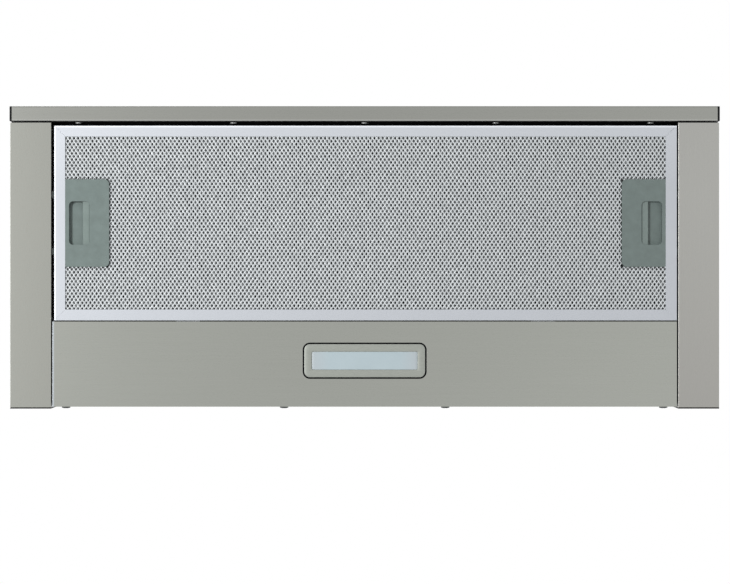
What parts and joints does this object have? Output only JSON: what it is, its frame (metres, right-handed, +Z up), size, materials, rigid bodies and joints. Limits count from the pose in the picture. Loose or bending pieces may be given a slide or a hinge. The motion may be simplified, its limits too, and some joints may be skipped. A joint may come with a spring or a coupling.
{
  "type": "slide-out range hood",
  "caption": "Slide-out range hood for a wall cabinet: grease filter, lamp panel, blower with duct collar, and a pull-out carriage behind the front bar.",
  "frame": {"origin": "middle of the outline, at the height of the underside", "axes": "+Z up, the front with the pull-out bar faces -Y, +X to the right seen from the front"},
  "size_m": [0.5992, 0.2552, 0.233],
  "materials": {
    "stainless": "fine brushed along the width",
    "fascia_steel": "fine brushed along the width",
    "zinc_steel": "zinc coated sheet",
    "screw_steel": "bright zinc",
    "spring_steel": "bright",
    "filter_aluminium": "satin",
    "filter_mesh": "bright expanded mesh",
    "handle_plastic": "satin grey-green moulding",
    "black_plastic": "fine grain",
    "bezel_plastic": "satin, colour of the panel",
    "lens": "frosted",
    "circuit_board": "white solder mask",
    "white_plastic": "smooth",
    "blower_plastic": "smooth moulding",
    "wheel_plastic": "smooth moulding",
    "flap_plastic": "smooth",
    "knob_plastic": "smooth",
    "black_steel": "satin black coating",
    "motor_metal": "plain"
  },
  "bodies": {
    "hood": {"side_trim_left": "stainless", "side_trim_right": "stainless", "trim_rear_caps": "black_plastic", "filter_strip_front": "filter_aluminium", "filter_strip_rear": "filter_aluminium", "filter_strip_left": "filter_aluminium", "filter_strip_right": "filter_aluminium", "filter_face_mesh": "filter_mesh", "filter_core": "filter_mesh", "filter_back_mesh": "filter_mesh", "handle_left": "handle_plastic", "handle_right": "handle_plastic", "latch_spring_left": "spring_steel", "latch_spring_right": "spring_steel", "lamp_panel": "stainless", "lamp_bezel": "bezel_plastic", "lamp_lens": "lens", "led_board": "circuit_board", "led_driver": "white_plastic", "rear_rail": "zinc_steel", "panel_screws": "screw_steel", "slide_outer_rails": "zinc_steel", "tray_top": "zinc_steel", "housing_walls": "zinc_steel", "housing_top": "zinc_steel", "mounting_bracket_left": "zinc_steel", "mounting_bracket_right": "zinc_steel", "scroll_left": "blower_plastic", "scroll_right": "blower_plastic", "inlet_ring": "blower_plastic", "motor": "motor_metal", "motor_bracket": "zinc_steel", "capacitor": "white_plastic", "terminal_box": "white_plastic", "terminal_lid": "white_plastic", "cable_gland": "black_plastic", "duct_spigot": "blower_plastic", "spigot_screws": "screw_steel", "flap_pins": "spring_steel", "control_strip": "black_plastic", "switch_module": "black_plastic", "microswitch": "black_plastic"},
    "carriage": {"carriage_frame": "black_steel", "carriage_filter_frame": "filter_aluminium", "carriage_filter_mesh": "filter_mesh", "fascia": "fascia_steel", "fascia_end_caps": "black_plastic", "fascia_screws": "screw_steel", "slide_inner_rails": "zinc_steel"},
    "cage_left": {"ball_cage_left": "spring_steel"},
    "cage_right": {"ball_cage_right": "spring_steel"},
    "latch_left": {"filter_latch_left": "handle_plastic"},
    "latch_right": {"filter_latch_right": "handle_plastic"},
    "fan": {"fan_wheel": "wheel_plastic", "motor_shaft": "spring_steel"},
    "front_flap": {"flap_front": "flap_plastic"},
    "rear_flap": {"flap_rear": "flap_plastic"},
    "speed_switch": {"speed_knob": "knob_plastic"},
    "light_switch": {"light_knob": "knob_plastic"},
    "plunger": {"switch_plunger": "knob_plastic"}
  },
  "joints": [
    {"name": "carriage_slide", "type": "slide", "parent": "hood", "child": "carriage", "axis": [0, -1, 0], "range_m": [0, 0.15]},
    {"name": "cage_left_slide", "type": "slide", "parent": "hood", "child": "cage_left", "axis": [0, -1, 0], "range_m": [0, 0.075]},
    {"name": "cage_right_slide", "type": "slide", "parent": "hood", "child": "cage_right", "axis": [0, -1, 0], "range_m": [0, 0.075]},
    {"name": "latch_left_slide", "type": "slide", "parent": "hood", "child": "latch_left", "axis": [1, 0, 0], "range_m": [0, 0.005], "stiffness_N_per_m": 300, "springref_m": -0.003, "deforming": ["latch_spring_left"]},
    {"name": "latch_right_slide", "type": "slide", "parent": "hood", "child": "latch_right", "axis": [-1, 0, 0], "range_m": [0, 0.005], "stiffness_N_per_m": 300, "springref_m": -0.003, "deforming": ["latch_spring_right"]},
    {"name": "fan_spin", "type": "hinge", "parent": "hood", "child": "fan", "pos_m": [0, -0.0266, 0.119], "axis": [1, 0, 0], "continuous": true},
    {"name": "front_flap_hinge", "type": "hinge", "parent": "hood", "child": "front_flap", "pos_m": [0, 0.00815, 0.2079], "axis": [-1, 0, 0], "range_deg": [0, 75]},
    {"name": "rear_flap_hinge", "type": "hinge", "parent": "hood", "child": "rear_flap", "pos_m": [0, 0.01615, 0.2079], "axis": [1, 0, 0], "range_deg": [0, 75]},
    {"name": "speed_slide", "type": "slide", "parent": "hood", "child": "speed_switch", "axis": [1, 0, 0], "range_m": [0, 0.03]},
    {"name": "light_slide", "type": "slide", "parent": "hood", "child": "light_switch", "axis": [1, 0, 0], "range_m": [0, 0.01]},
    {"name": "plunger_slide", "type": "slide", "parent": "hood", "child": "plunger", "axis": [0, 1, 0], "range_m": [0, 0.0015], "stiffness_N_per_m": 200, "springref_m": -0.001}
  ],
  "couplings": [
    {"joint": "cage_left_slide", "follows": "carriage_slide", "ratio": 0.5},
    {"joint": "cage_right_slide", "follows": "carriage_slide", "ratio": 0.5}
  ]
}
